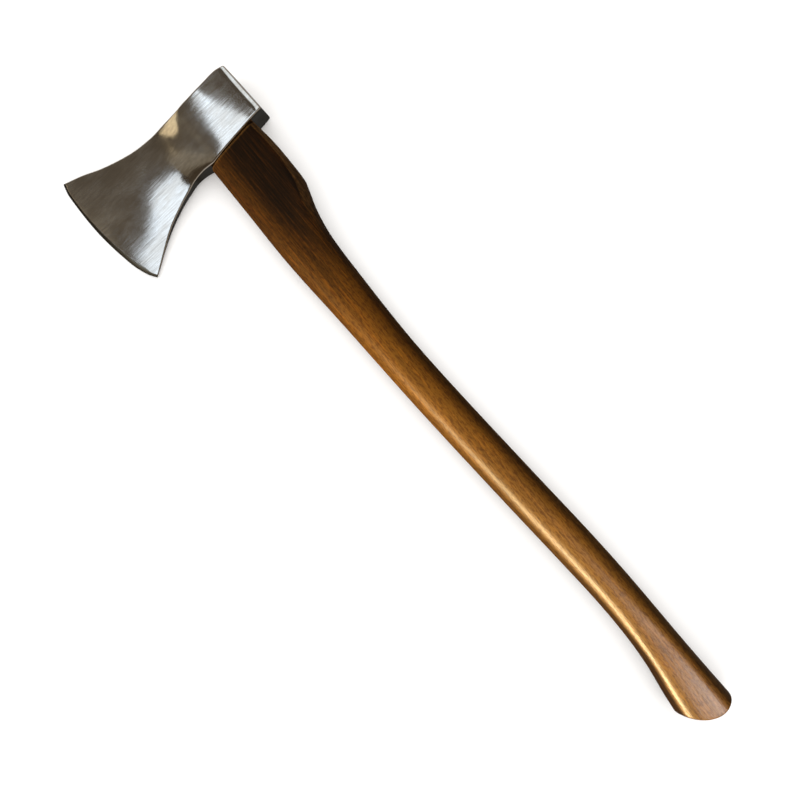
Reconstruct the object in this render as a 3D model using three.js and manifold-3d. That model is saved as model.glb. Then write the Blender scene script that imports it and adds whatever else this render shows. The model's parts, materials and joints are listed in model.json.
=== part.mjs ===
// A felling axe: a forged steel head wedged onto a curved ash handle.
// Millimetres. The axe is drawn with its handle along +X (the butt is at +X), the poll towards +Y,
// the cutting edge towards -Y and the cheeks facing +Z and -Z. x = 0 is where the handle leaves the head.
// At the end the whole axe is turned a few degrees, so that it rests on one cheek, its edge and its butt.
import * as THREE from 'three';
import { mergeVertices } from 'three/addons/utils/BufferGeometryUtils.js';
import Module from 'manifold-3d';

const wasm = await Module();
wasm.setup();

// ---------------------------------------------------------------- driving dimensions
const GAP = 0.3;                        // clearance left between two fitted pieces
const CUT_OVERRUN = 5;                  // how far a cutting solid runs on past the surface it opens

// Head: the corners of its side outline, as [x, y].
const POLL_TOP = [-60.3, 39.0];
const POLL_BOTTOM = [-5.6, 40.8];
const TOE = [-91.7, -159.3];
const HEEL = [42.8, -144.1];
const LUG = [1.1, -27.0];               // where the straight underside ends, in front of the handle

// Inner points of the three curved sides of the outline.
const TOP_EDGE = [[-62.3, 28], [-61.3, 8], [-60.4, -26], [-61.5, -43], [-61.6, -60], [-65.0, -85],
  [-75.5, -118], [-84.3, -138]];
const BOTTOM_EDGE = [LUG, [-1.2, -41], [-0.7, -54], [2.9, -66.5], [6.7, -78.6], [17.5, -103.5]];
const CUTTING_EDGE = [[-78, -162.4], [-30, -162.6], [14, -156.3], [33, -150.1]];

// Head thickness, as [share of the way from cutting edge to poll, thickness].
const MID_THICKNESS = [[0, 0.6], [0.012, 2], [0.1, 5.5], [0.25, 10], [0.4, 14.5], [0.55, 20],
  [0.65, 26], [0.74, 32], [0.82, 34], [1, 33]];
const RIM_THICKNESS = [[0, 0.6], [0.012, 1.8], [0.076, 3.4], [0.22, 5.6], [0.384, 8.5], [0.52, 11.5],
  [0.6, 18], [0.66, 25], [0.74, 31.5], [0.82, 34], [1, 33]];
const CROWN_POWER = 2.2;                // how the cheek falls away from mid-height to its rims

// Eye: an oval hole along X, a little wider at the top than at the bottom.
const EYE_Y = -2.8;
const EYE_BOTTOM = { length: 56, width: 22 };
const EYE_TOP = { length: 58.5, width: 24.5 };
const EYE_POWER = 2.15;
const TONGUE_PROUD = 2;                 // the handle's end stands this far out of the top of the eye

// Handle: its front (edge side) and back rails as [x, y], its thickness and the squareness of its section.
const FRONT_RAIL = [[0, -34], [60, -34.4], [120, -34.9], [195, -31.5], [310, -26.7], [420, -20.1],
  [495, -15], [550, -11.7], [590, -11.4], [622, -13.6], [650, -18], [669.5, -20.5]];
const BACK_RAIL = [[-4.5, 26.5], [17, 28.7], [40, 29.1], [67, 28.2], [78, 25.1], [98, 18.9], [126, 14.1],
  [170, 12], [245, 10.5], [309, 12.6], [420, 19.2], [494, 24], [548, 26.2], [620, 27], [656, 27.7],
  [687.5, 28.7]];
const HANDLE_THICKNESS = [[0, 27], [70, 27], [150, 25], [300, 24], [480, 24], [590, 25.5], [640, 29.5],
  [669.5, 31.5]];
const SECTION_POWER = [[0, 3.2], [120, 2.8], [400, 2.5], [600, 2.6], [669.5, 2.8]];
const BUTT_BULGE = 12;                  // how far the domed butt stands out of its chord

// Wedges.
const WEDGE = { top: 7, bottom: 1.6, depth: 42 };
const RING = { outerTop: 10, outerBottom: 9.5, innerTop: 7.4, innerBottom: 9.0, height: 14 };

// Mesh fineness.
const HEAD_ROWS = [0, 0.012, 0.045, 0.09, 0.15, 0.22, 0.3, 0.38, 0.45, 0.5, 0.54, 0.58, 0.62, 0.66, 0.7,
  0.75, 0.82, 0.9, 1];
const HEAD_COLUMNS = 12;
const EYE_SIDES = 40;
const HANDLE_SIDES = 32;
const HANDLE_STATIONS = 40;
const RING_SIDES = 36;

// ---------------------------------------------------------------- curves
// Smooth value at x of a list of [x, value] points: cubic pieces with finite-difference slopes.
function smoothAt(points, x) {
  const last = points.length - 1;
  const clamped = Math.min(Math.max(x, points[0][0]), points[last][0]);
  let i = 0;
  while (i < last - 1 && clamped > points[i + 1][0]) i += 1;
  const [x0, v0] = points[i];
  const [x1, v1] = points[i + 1];
  const slope = (a, b) => (points[b][1] - points[a][1]) / (points[b][0] - points[a][0]);
  const m0 = slope(Math.max(i - 1, 0), i + 1);
  const m1 = slope(i, Math.min(i + 2, last));
  const span = x1 - x0;
  const t = (clamped - x0) / span;
  const h = t * t * (3 - 2 * t);
  return v0 * (1 - h) + v1 * h + span * (m0 * t * (1 - t) * (1 - t) - m1 * t * t * (1 - t));
}

// Straight-line value at x of a list of [x, value] points.
function linearAt(points, x) {
  let i = 0;
  while (i < points.length - 2 && x > points[i + 1][0]) i += 1;
  const [x0, v0] = points[i];
  const [x1, v1] = points[i + 1];
  return THREE.MathUtils.lerp(v0, v1, (x - x0) / (x1 - x0));
}

const swapped = (points) => points.map(([x, y]) => [y, x]);
const mix = (a, b, t) => [THREE.MathUtils.lerp(a[0], b[0], t), THREE.MathUtils.lerp(a[1], b[1], t)];

// The head's upper, lower and cutting edges, as x of y or y of x.
const topEdgeX = (y) => smoothAt(swapped([TOE, ...[...TOP_EDGE].reverse(), POLL_TOP]), y);
const cuttingEdgeY = (x) => smoothAt([TOE, ...CUTTING_EDGE, HEEL], x);

function bottomEdgeX(y) {
  if (y >= LUG[1]) return linearAt(swapped([LUG, POLL_BOTTOM]), y);
  return smoothAt(swapped([HEEL, ...[...BOTTOM_EDGE].reverse()]), y);
}

// ---------------------------------------------------------------- solids
function toSolid(geometry) {
  const plain = geometry.clone();
  plain.deleteAttribute('normal');
  plain.deleteAttribute('uv');
  const merged = mergeVertices(plain, 1e-4);
  return new wasm.Manifold(new wasm.Mesh({
    numProp: 3,
    vertProperties: new Float32Array(merged.attributes.position.array),
    triVerts: new Uint32Array(merged.index.array),
  }));
}

function toGeometry(solid) {
  const mesh = solid.getMesh();
  const geometry = new THREE.BufferGeometry();
  geometry.setAttribute('position', new THREE.BufferAttribute(new Float32Array(mesh.vertProperties), 3));
  geometry.setIndex(new THREE.BufferAttribute(new Uint32Array(mesh.triVerts), 1));
  geometry.computeVertexNormals();
  return geometry;
}

function indexedGeometry(positions, faces) {
  const geometry = new THREE.BufferGeometry();
  geometry.setAttribute('position', new THREE.Float32BufferAttribute(positions, 3));
  geometry.setIndex(faces);
  return geometry;
}

// The two triangles of a four-sided face.
const quad = (a, b, c, d) => [a, b, c, a, c, d];

// A closed geometry through rings that are mirrored about z = 0. Each end is ruled from side to side.
function loft(rings) {
  const sides = rings[0].length;
  const faces = [];
  for (let r = 0; r < rings.length - 1; r += 1) {
    for (let i = 0; i < sides; i += 1) {
      const a = r * sides + i;
      const b = r * sides + (i + 1) % sides;
      faces.push(...quad(a, b, b + sides, a + sides));
    }
  }
  const last = (rings.length - 1) * sides;
  for (let i = 0; i < sides / 2 - 1; i += 1) {
    const mirror = sides - 1 - i;
    faces.push(...quad(i + 1, i, mirror, mirror - 1));
    faces.push(...quad(last + i, last + i + 1, last + mirror - 1, last + mirror));
  }
  return indexedGeometry(rings.flat(2), faces);
}

// One closed ring of unit superellipse points, mirrored about its long axis: a higher power is squarer.
function superellipseRing(sides, power, place) {
  const bend = (value) => Math.sign(value) * Math.abs(value) ** (2 / power);
  return Array.from({ length: sides }, (_, i) => {
    const angle = (2 * Math.PI * (i + 0.5)) / sides;
    return place(bend(Math.cos(angle)), bend(Math.sin(angle)));
  });
}

// ---------------------------------------------------------------- head
// A point of the head's side outline patch: row 0 is the cutting edge and 1 the poll,
// column 0 is the top edge and 1 the bottom edge.
function headPoint(row, column) {
  const topY = THREE.MathUtils.lerp(TOE[1], POLL_TOP[1], row);
  const bottomY = THREE.MathUtils.lerp(HEEL[1], POLL_BOTTOM[1], row);
  const across = mix([topEdgeX(topY), topY], [bottomEdgeX(bottomY), bottomY], column);
  const chord = mix(TOE, HEEL, column);
  const bulge = cuttingEdgeY(chord[0]) - chord[1];
  return [across[0], across[1] + (1 - row) * bulge];
}

function headThickness(row, column) {
  const rim = linearAt(RIM_THICKNESS, row);
  const middle = linearAt(MID_THICKNESS, row);
  return rim + (middle - rim) * (1 - Math.abs(2 * column - 1) ** CROWN_POWER);
}

function headBlank() {
  const columns = HEAD_COLUMNS + 1;
  const perSide = HEAD_ROWS.length * columns;
  const positions = [];
  for (const side of [1, -1]) {
    for (const row of HEAD_ROWS) {
      for (let c = 0; c < columns; c += 1) {
        const [x, y] = headPoint(row, c / HEAD_COLUMNS);
        positions.push(x, y, side * headThickness(row, c / HEAD_COLUMNS) / 2);
      }
    }
  }
  const near = (r, c) => r * columns + c;
  const far = (r, c) => perSide + near(r, c);
  const faces = [];
  for (let r = 0; r < HEAD_ROWS.length - 1; r += 1) {
    for (let c = 0; c < HEAD_COLUMNS; c += 1) {
      faces.push(...quad(near(r, c), near(r, c + 1), near(r + 1, c + 1), near(r + 1, c)));
      faces.push(...quad(far(r, c + 1), far(r, c), far(r + 1, c), far(r + 1, c + 1)));
    }
    const end = HEAD_COLUMNS;
    faces.push(...quad(far(r, 0), near(r, 0), near(r + 1, 0), far(r + 1, 0)));
    faces.push(...quad(near(r, end), far(r, end), far(r + 1, end), near(r + 1, end)));
  }
  const poll = HEAD_ROWS.length - 1;
  for (let c = 0; c < HEAD_COLUMNS; c += 1) {
    faces.push(...quad(far(0, c), far(0, c + 1), near(0, c + 1), near(0, c)));
    faces.push(...quad(near(poll, c), near(poll, c + 1), far(poll, c + 1), far(poll, c)));
  }
  return indexedGeometry(positions, faces);
}

// An oval bar along X that fills the eye, smaller than it all round by the clearance given.
function eyeBar(clearance, fromX, toX) {
  const eyeTopX = topEdgeX(EYE_Y);
  const rings = [fromX, toX].map((x) => {
    const share = x / eyeTopX;
    const length = THREE.MathUtils.lerp(EYE_BOTTOM.length, EYE_TOP.length, share) - 2 * clearance;
    const width = THREE.MathUtils.lerp(EYE_BOTTOM.width, EYE_TOP.width, share) - 2 * clearance;
    return superellipseRing(EYE_SIDES, EYE_POWER, (u, v) => [x, EYE_Y + (u * length) / 2, (v * width) / 2]);
  });
  return toSolid(loft(rings));
}

function headSolid() {
  const wellPast = 12;
  return toSolid(headBlank()).subtract(eyeBar(0, POLL_TOP[0] - wellPast, wellPast));
}

// ---------------------------------------------------------------- handle
// One ring of the handle between its front and back rails, share 0 at the head and 1 at the butt.
function handleRing(share) {
  const frontX = THREE.MathUtils.lerp(FRONT_RAIL[0][0], FRONT_RAIL.at(-1)[0], share);
  const backX = THREE.MathUtils.lerp(BACK_RAIL[0][0], BACK_RAIL.at(-1)[0], share);
  const front = [frontX, smoothAt(FRONT_RAIL, frontX)];
  const back = [backX, smoothAt(BACK_RAIL, backX)];
  const thickness = smoothAt(HANDLE_THICKNESS, frontX);
  const power = smoothAt(SECTION_POWER, frontX);
  const bulge = BUTT_BULGE * THREE.MathUtils.smoothstep(share, 0.9, 1);
  return superellipseRing(HANDLE_SIDES, power, (u, v) => {
    const [x, y] = mix(front, back, (u + 1) / 2);
    return [x + bulge * (1 - u * u), y, (v * thickness) / 2];
  });
}

// The shaft: rings are closer together towards the butt, where the end is domed.
function shaftSolid() {
  const rings = [];
  for (let k = 0; k <= HANDLE_STATIONS; k += 1) {
    rings.push(handleRing((k / HANDLE_STATIONS) ** 0.95));
  }
  return toSolid(loft(rings));
}

// The part of space on the head's side of its straight underside, plus the clearance.
function underHeadCutter() {
  const reach = 60;
  const along = [LUG[0] - POLL_BOTTOM[0], LUG[1] - POLL_BOTTOM[1]];
  const angle = Math.atan2(along[0], -along[1]);
  const block = new THREE.BoxGeometry(reach, 2 * reach, reach);
  block.translate(-reach / 2 + GAP, 0, 0);
  block.rotateZ(angle);
  block.translate(...mix(POLL_BOTTOM, LUG, 0.5), 0);
  return toSolid(block);
}

function handleSolid() {
  const rootX = 8;
  const tongue = eyeBar(GAP, topEdgeX(EYE_Y) - TONGUE_PROUD, rootX);
  return shaftSolid().subtract(underHeadCutter()).add(tongue)
    .subtract(wedgePlate(GAP)).subtract(ringSolid(GAP));
}

// ---------------------------------------------------------------- wedges
// The size that a taper reaches when it runs on past its top by a share of its depth.
const overrun = (top, bottom, share) => THREE.MathUtils.lerp(top, bottom, -share);

// The tapered wooden plate, grown all round by the clearance given.
function wedgePlate(clearance) {
  const topX = topEdgeX(EYE_Y) - TONGUE_PROUD;
  const above = clearance > 0 ? CUT_OVERRUN : 0;
  const halfTop = overrun(WEDGE.top, WEDGE.bottom, above / WEDGE.depth) / 2 + clearance;
  const halfBottom = WEDGE.bottom / 2 + clearance;
  const shape = new THREE.Shape([
    new THREE.Vector2(topX - above, -halfTop),
    new THREE.Vector2(topX + WEDGE.depth + clearance, -halfBottom),
    new THREE.Vector2(topX + WEDGE.depth + clearance, halfBottom),
    new THREE.Vector2(topX - above, halfTop),
  ]);
  const length = EYE_TOP.length + 10;
  const plate = new THREE.ExtrudeGeometry(shape, { depth: length, bevelEnabled: false });
  plate.translate(0, 0, -length / 2);
  plate.rotateX(Math.PI / 2);
  plate.translate(0, EYE_Y, 0);
  return toSolid(plate);
}

// The conical steel ring, grown all round by the clearance given.
function ringSolid(clearance) {
  const above = clearance > 0 ? CUT_OVERRUN : 0;
  const share = above / RING.height;
  const profile = [
    new THREE.Vector2(overrun(RING.innerTop, RING.innerBottom, share) - clearance, above),
    new THREE.Vector2(RING.innerBottom - clearance, -RING.height - clearance),
    new THREE.Vector2(RING.outerBottom + clearance, -RING.height - clearance),
    new THREE.Vector2(overrun(RING.outerTop, RING.outerBottom, share) + clearance, above),
  ];
  const ring = new THREE.LatheGeometry([...profile, profile[0]], RING_SIDES);
  ring.rotateZ(Math.PI / 2);
  ring.translate(topEdgeX(EYE_Y) - TONGUE_PROUD, EYE_Y, 0);
  return toSolid(ring);
}

function woodenWedgeSolid() {
  const fitted = eyeBar(GAP, topEdgeX(EYE_Y) - TONGUE_PROUD, 0);
  return wedgePlate(0).intersect(fitted).subtract(ringSolid(GAP));
}

// ---------------------------------------------------------------- assembly
const materials = {
  groundSteel: { color: 0x8f8b86, roughness: 0.32, metalness: 1 },
  lacqueredAsh: { color: 0x7a4720, roughness: 0.35, metalness: 0 },
  wedgeWood: { color: 0xb98a55, roughness: 0.6, metalness: 0 },
  wedgeSteel: { color: 0x6f6f70, roughness: 0.45, metalness: 1 },
};

function piece(name, solid, look) {
  const mesh = new THREE.Mesh(toGeometry(solid), new THREE.MeshStandardMaterial(materials[look]));
  mesh.name = name;
  return mesh;
}

function worldPoints(mesh) {
  mesh.updateWorldMatrix(true, false);
  const { position } = mesh.geometry.attributes;
  return Array.from({ length: position.count }, (_, i) => (
    new THREE.Vector3().fromBufferAttribute(position, i).applyMatrix4(mesh.matrixWorld)));
}

const lowest = (points) => points.reduce((low, p) => (p.z < low.z ? p : low));

const axe = new THREE.Group();
const head = piece('axe_head', headSolid(), 'groundSteel');
const handle = piece('handle', handleSolid(), 'lacqueredAsh');
axe.add(head, handle);
axe.add(piece('wooden_wedge', woodenWedgeSolid(), 'wedgeWood'));
axe.add(piece('steel_ring_wedge', ringSolid(0), 'wedgeSteel'));

// At rest the axe first rolls about X until the cutting edge is down beside the lower cheek, and then
// tips about Y until the butt is down too. Each turn ends at the first point that touches.
axe.rotation.order = 'YXZ';
const edge = worldPoints(head).reduce((low, p) => (p.y < low.y ? p : low));
axe.rotation.x = Math.max(...worldPoints(head)
  .filter((p) => p.y > LUG[1])
  .map((p) => Math.atan2(edge.z - p.z, p.y - edge.y)));
const cheek = lowest(worldPoints(head).filter((p) => p.y > LUG[1]));
axe.rotation.y = Math.min(...worldPoints(handle)
  .filter((p) => p.x > BACK_RAIL.at(-1)[0] / 2)
  .map((p) => Math.atan2(p.z - cheek.z, p.x - cheek.x)));

// The origin is the middle of the bounding box, at the surface the axe rests on.
const group = new THREE.Group();
group.add(axe);
group.updateMatrixWorld(true);
const box = new THREE.Box3().setFromObject(group, true);
axe.position.set(-(box.min.x + box.max.x) / 2, -(box.min.y + box.max.y) / 2, -box.min.z);

export default group;
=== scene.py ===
"""A felling axe lying on a pale floor: a ground steel head on a curved, lacquered wooden handle.

The pieces are drawn in the axe's own frame, in millimetres: +X runs along the handle to the butt,
+Y points to the poll, -Y to the cutting edge, and the cheeks face +Z and -Z. `place` turns them into
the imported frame, in metres, where the axe lies on one cheek.
"""
import json
import math

import bmesh
import bpy
import numpy as np
from mathutils import Matrix, Vector


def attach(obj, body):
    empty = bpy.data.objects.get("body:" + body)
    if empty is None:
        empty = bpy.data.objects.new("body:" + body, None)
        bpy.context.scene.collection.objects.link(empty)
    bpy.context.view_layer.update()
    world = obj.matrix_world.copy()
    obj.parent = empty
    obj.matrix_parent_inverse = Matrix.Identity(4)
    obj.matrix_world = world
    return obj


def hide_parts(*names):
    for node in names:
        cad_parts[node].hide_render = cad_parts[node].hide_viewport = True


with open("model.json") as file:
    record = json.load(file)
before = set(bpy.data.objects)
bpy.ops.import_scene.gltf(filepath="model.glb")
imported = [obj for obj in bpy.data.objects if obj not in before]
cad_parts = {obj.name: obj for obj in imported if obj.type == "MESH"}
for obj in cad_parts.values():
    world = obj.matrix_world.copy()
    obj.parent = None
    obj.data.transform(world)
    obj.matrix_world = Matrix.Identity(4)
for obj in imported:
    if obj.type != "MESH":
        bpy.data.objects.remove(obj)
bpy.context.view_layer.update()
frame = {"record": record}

MM = 0.001

# ---------------------------------------------------------------- driving dimensions, millimetres
# Head: the corners of its side outline and the inner points of its curved sides, as [x, y].
POLL_TOP = (-60.3, 39.0)
POLL_BOTTOM = (-5.6, 40.8)
TOE = (-91.7, -159.3)
HEEL = (42.8, -144.1)
LUG = (1.1, -27.0)
TOP_EDGE = [(-62.3, 28), (-61.3, 8), (-60.4, -26), (-61.5, -43), (-61.6, -60), (-65.0, -85),
            (-75.5, -118), (-84.3, -138)]
BOTTOM_EDGE = [(-1.2, -41), (-0.7, -54), (2.9, -66.5), (6.7, -78.6), (17.5, -103.5)]
CUTTING_EDGE = [(-78, -162.4), (-30, -162.6), (14, -156.3), (33, -150.1)]

# Head thickness along its top edge, mid-height and bottom edge, at shares of the way from the
# cutting edge to the poll. The cheeks are ground by hand, so the three don't quite run together.
THICKNESS_AT = (0, 0.008, 0.013, 0.1, 0.25, 0.4, 0.5, 0.58, 0.66, 0.74, 0.82, 0.9, 1)
TOP_THICKNESS = (0.5, 2.1, 2.25, 3.7, 6.4, 11.4, 14.4, 18.4, 26.0, 31.2, 33.4, 33.4, 33.5)
MID_THICKNESS = (0.5, 2.1, 2.25, 4.2, 8.1, 11.9, 16.1, 21.1, 25.8, 30.6, 33.1, 33.7, 33.2)
BOTTOM_THICKNESS = (0.5, 2.0, 2.1, 3.0, 6.7, 8.9, 13.0, 19.6, 26.3, 30.8, 32.6, 33.6, 33.6)
BEVEL_SHARE = THICKNESS_AT[1]
CROWN_POWER = 2.2                       # how the cheek falls away from mid-height to its rims
RIM_FILLET = 1.2
POLL_FILLET = 1.2
POLL_ROLL = 7.5                         # the cheeks fall away over this width before the poll,
CORNER_ROLL = 7.0                       # over this one round the poll's lower corner,
ROLL_DROP = 0.7                         # and by this much
LARGEST_FILLET = 0.42                   # share of the rim's thickness, where the rim is thin
EYE_Y = -2.8
EYE_BOTTOM = (56, 22)
EYE_TOP = (58.5, 24.5)
EYE_POWER = 2.15
EYE_CHAMFER = 0.8

# Handle: front and back rails as (x, y), its thickness and the squareness of its section along x.
FRONT_RAIL = [(0, -34), (60, -34.4), (120, -34.9), (195, -31.5), (310, -26.7), (420, -20.1),
              (495, -15), (550, -11.7), (590, -11.4), (622, -13.6), (650, -18), (669.5, -20.5)]
BACK_RAIL = [(-4.5, 26.5), (17, 28.7), (40, 29.1), (67, 28.2), (78, 25.1), (98, 18.9),
             (126, 14.1), (170, 12), (245, 10.5), (309, 12.6), (420, 19.2), (494, 24),
             (548, 26.2), (620, 27), (656, 27.7), (687.5, 28.7)]
HANDLE_THICKNESS = [(0, 27), (70, 27), (150, 25), (300, 24), (480, 24), (590, 25.5),
                    (640, 29.5), (669.5, 31.5)]
FRONT_POWER = [(0, 3.2), (80, 2.9), (140, 2.35), (200, 2.1), (400, 2.05), (550, 2.1),
               (620, 2.6), (669.5, 2.8)]
BACK_POWER = [(0, 7.0), (60, 6.5), (110, 3.5), (160, 2.4), (200, 2.1), (400, 2.05),
              (550, 2.1), (620, 2.8), (669.5, 3.0)]
# Facets planed along a rail: width, slope and softness of the corner along x, and the stretch of x
# over which each starts or ends.
BACK_FACET = {"width": [(0, 5.2), (45, 5.8), (70, 8.5), (95, 10.5), (150, 12)],
              "slope": [(0, 1.1), (60, 1.0), (110, 0.55), (160, 0.15), (200, 0)],
              "softness": [(0, 0.4), (80, 0.7), (200, 1.0)]}
BACK_FACET_END = (120, 190)
BUTT_FRONT_FACET = {"width": [(560, 6), (600, 8.5), (669, 9.5)], "slope": [(560, 1.1), (669, 1.1)],
                    "softness": [(560, 1.2), (669, 0.9)]}
BUTT_BACK_FACET = {"width": [(560, 3.5), (620, 4.5), (669, 5.5)], "slope": [(560, 1.1), (669, 1.1)],
                   "softness": [(560, 1.2), (669, 0.7)]}
BUTT_FACET_START = (560, 610)
BUTT_BULGE = 12                         # how far the domed butt stands out of its chord,
BULGE_START = 0.9                       # from this share of the handle's length on
SHOULDER_FILLET = 1.8
BUTT_FILLET = 1.4
FIT = 0.3
TONGUE_PROUD = 2                        # the handle's end stands this far out of the top of the eye
TONGUE_RIM = [(0, 0.6), (0.4, 0.2), (1, 0)]     # (below the handle's end, drawn in all round)
TONGUE_ROOT = -8                        # the tongue's lowest ring above the underside of the head

# Wedges in the top of the eye.
WEDGE_TOP, WEDGE_BOTTOM, WEDGE_DEPTH = 7, 1.6, 42
RING_HEIGHT = 14
RING_OUTER = (10, 9.5)                  # its outer radius at the top and at the bottom
RING_INNER = (7.4, 9.0)                 # its inner radius at the top and at the bottom
RING_ROUNDING = 0.6
ROUNDING_MIDDLE = 0.3                   # how far in the middle point of a rounded rim lies, as a share

# Cutters: how far they carry on past what they cut, and how far the eye's flares out at its top.
CUTTER_REACH = 5.0
EYE_CUTTER_LOW = 20
EYE_CUTTER_RISE = 6
EYE_CUTTER_FLARE = 1.5

# Mesh fineness.
HEAD_CHEEK_POINTS = 84
HEAD_FILLET_POINTS = 6
HEAD_SIDE_POINTS = 4
HEAD_BEVEL_ROWS = 4
HEAD_BODY_ROWS = 170
FILLET_ROWS = 7
EYE_SIDES = 96
HANDLE_SIDES = 128
HANDLE_STATIONS = 300

# Degrees between two faces from which their shared edge is sharp, for each kind of piece.
SHARP_PIECE, SHARP_WEDGE, SHARP_RING = 32, 25, 50

# The UV map: millimetres to a unit, and how squarely a face must look out of a cheek to lie on it.
UV_UNIT = 100
CHEEK_FACING = 0.6

# Camera, in the axe's own frame.
CAMERA_AT = (329.2, 59.9, 730.8)
CAMERA_AIM = (288.7, -34.9, 0.0)
CAMERA_UP = (-0.772, 0.634, -0.040)
CAMERA_LENS = 34.96
CAMERA_SENSOR = 36.0


# ---------------------------------------------------------------- placing
def basis(first, second):
    """Three square axes from two directions, as the columns of a matrix."""
    a = Vector(first).normalized()
    b = Vector(second)
    b = (b - a * a.dot(b)).normalized()
    return Matrix((a, b, a.cross(b))).transposed()


def placement():
    """The turn and the shift that take the axe's own frame, in metres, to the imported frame."""
    mounts = {m["name"]: m for m in frame["record"]["mounts"]}
    poll, underside = mounts["poll_face"], mounts["underside_rear"]
    poll_normal = (POLL_TOP[1] - POLL_BOTTOM[1], POLL_BOTTOM[0] - POLL_TOP[0], 0)
    under_normal = (POLL_BOTTOM[1] - LUG[1], LUG[0] - POLL_BOTTOM[0], 0)
    own = basis(poll_normal, under_normal)
    packed = basis(poll["axis"], underside["axis"])
    turn = packed @ own.transposed()
    middle = (Vector((*POLL_TOP, 0)) + Vector((*POLL_BOTTOM, 0))) * MM / 2
    return Matrix.Translation(Vector(poll["pos_m"]) - turn @ middle) @ turn.to_4x4()


PLACE = placement()


def place(point):
    """A point of the axe's own frame, in millimetres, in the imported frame, in metres."""
    return PLACE @ (Vector(point) * MM)


# ---------------------------------------------------------------- camera
def make_camera():
    data = bpy.data.cameras.new("camera")
    data.lens = CAMERA_LENS
    data.sensor_width = CAMERA_SENSOR
    camera = bpy.data.objects.new("camera", data)
    bpy.context.scene.collection.objects.link(camera)
    back = (place(CAMERA_AT) - place(CAMERA_AIM)).normalized()
    up = PLACE.to_3x3() @ Vector(CAMERA_UP)
    right = up.cross(back).normalized()
    turn = Matrix((right, back.cross(right), back)).transposed()
    camera.matrix_world = Matrix.Translation(place(CAMERA_AT)) @ turn.to_4x4()
    bpy.context.scene.camera = camera


make_camera()


# ---------------------------------------------------------------- curves
def smooth_at(points, x):
    """Smooth value at x of a list of (x, value) points: cubic pieces with finite-difference slopes."""
    xs, values = np.array(points, float).T
    x = np.clip(x, xs[0], xs[-1])
    i = np.clip(np.searchsorted(xs, x) - 1, 0, len(xs) - 2)
    before, after = np.maximum(i - 1, 0), np.minimum(i + 2, len(xs) - 1)
    start_slope = (values[i + 1] - values[before]) / (xs[i + 1] - xs[before])
    end_slope = (values[after] - values[i]) / (xs[after] - xs[i])
    span = xs[i + 1] - xs[i]
    t = (x - xs[i]) / span
    ease = t * t * (3 - 2 * t)
    bend = start_slope * t * (1 - t) ** 2 - end_slope * t * t * (1 - t)
    return values[i] * (1 - ease) + values[i + 1] * ease + span * bend


def swapped(points):
    return [(y, x) for x, y in points]


def lerp(a, b, t):
    return a + (b - a) * t


def smoothstep(x, low, high):
    t = np.clip((x - low) / (high - low), 0, 1)
    return t * t * (3 - 2 * t)


def signed_power(value, power):
    return np.sign(value) * np.abs(value) ** power


TOP_LINE = swapped([TOE, *reversed(TOP_EDGE), POLL_TOP])
BOTTOM_LINE = swapped([HEEL, *reversed(BOTTOM_EDGE), LUG])
EDGE_LINE = [TOE, *CUTTING_EDGE, HEEL]


def top_edge_x(y):
    return smooth_at(TOP_LINE, y)


def straight_underside_x(y):
    return lerp(LUG[0], POLL_BOTTOM[0], (y - LUG[1]) / (POLL_BOTTOM[1] - LUG[1]))


def bottom_edge_x(y):
    return np.where(y >= LUG[1], straight_underside_x(y), smooth_at(BOTTOM_LINE, y))


EYE_TOP_X = float(top_edge_x(EYE_Y))
HANDLE_END_X = EYE_TOP_X - TONGUE_PROUD


# ---------------------------------------------------------------- meshes
def lofted(name, rings, chain=0):
    """A closed mesh through rings that are mirrored about z = 0: point i mirrors point -1 - i.

    Each end is ruled from side to side. Points 0 to `chain` of a ring lie on one straight side, as do
    their fellows at the far end of the half ring, and each such side shares one face at the ends.
    """
    count, sides, _ = rings.shape
    half = sides // 2
    faces = []
    for r in range(count - 1):
        for i in range(sides):
            a, b = r * sides + i, r * sides + (i + 1) % sides
            faces.append((a, b, b + sides, a + sides))
    cap = [[i, i + 1, sides - 2 - i, sides - 1 - i] for i in range(chain + 1, half - 2 - chain)]
    cap.append(list(range(chain + 2)) + list(range(sides - 2 - chain, sides)))
    cap.append(list(range(half - 2 - chain, half + 2 + chain)))
    last = (count - 1) * sides
    for face in cap:
        faces.append(face[::-1])
        faces.append([last + i for i in face])
    return new_piece(name, rings.reshape(-1, 3).tolist(), faces)


def new_piece(name, points, faces):
    mesh = bpy.data.meshes.new(name)
    mesh.from_pydata(points, [], faces)
    tidy_normals(mesh)
    piece = bpy.data.objects.new(name, mesh)
    bpy.context.scene.collection.objects.link(piece)
    return piece


def tidy_normals(mesh):
    """Points every face outwards."""
    work = bmesh.new()
    work.from_mesh(mesh)
    bmesh.ops.recalc_face_normals(work, faces=work.faces)
    work.to_mesh(mesh)
    work.free()


def apply_boolean(piece, tool, operation="DIFFERENCE"):
    """Cuts or joins the tool's solid, and removes the tool."""
    modifier = piece.modifiers.new("boolean", "BOOLEAN")
    modifier.operation = operation
    modifier.solver = "EXACT"
    modifier.object = tool
    apply_modifiers(piece)
    bpy.data.objects.remove(tool)


def apply_modifiers(piece):
    bpy.context.view_layer.update()
    evaluated = piece.evaluated_get(bpy.context.evaluated_depsgraph_get())
    mesh = bpy.data.meshes.new_from_object(evaluated)
    piece.modifiers.clear()
    old = piece.data
    piece.data = mesh
    bpy.data.meshes.remove(old)


def superellipse(sides, power):
    """Unit superellipse points (u, v), mirrored about v = 0."""
    angle = 2 * math.pi * (np.arange(sides) + 0.5) / sides
    bend = 2 / power
    return signed_power(np.cos(angle), bend), signed_power(np.sin(angle), bend)


def oval_ring(x, length, width, sides):
    u, v = superellipse(sides, EYE_POWER)
    return np.stack([np.full(sides, float(x)), EYE_Y + u * length / 2, v * width / 2], axis=-1)


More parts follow.
